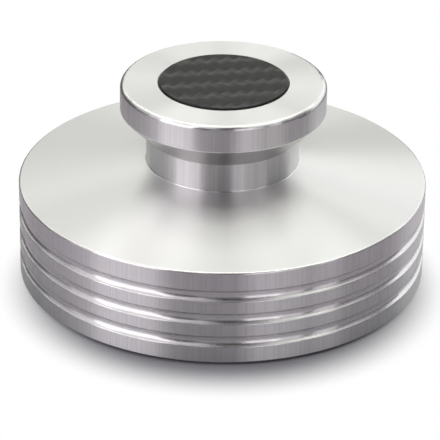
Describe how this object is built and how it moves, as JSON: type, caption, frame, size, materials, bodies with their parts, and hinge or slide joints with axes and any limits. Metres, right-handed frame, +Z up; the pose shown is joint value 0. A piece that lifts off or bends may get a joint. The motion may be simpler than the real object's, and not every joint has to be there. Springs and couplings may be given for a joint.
{
  "type": "record weight clamp",
  "caption": "Round turned aluminium weight with grooved sides, a lifting head with a woven carbon inlay, a felt pad and a spindle bore, for holding a record flat.",
  "frame": {"origin": "centre of the felt pad's lower face, where the weight rests on the record's label", "axes": "+Z up along the turning axis and the spindle bore; X and Y lie in the record's plane"},
  "size_m": [0.08, 0.08, 0.0404],
  "materials": {
    "turned_aluminium": "fine turned, satin, clear anodised",
    "carbon_twill": "woven carbon in satin resin",
    "felt": "pressed wool felt, matt black"
  },
  "bodies": {
    "root": {"weight_body": "turned_aluminium", "carbon_inlay": "carbon_twill", "base_pad": "felt"}
  },
  "joints": []
}
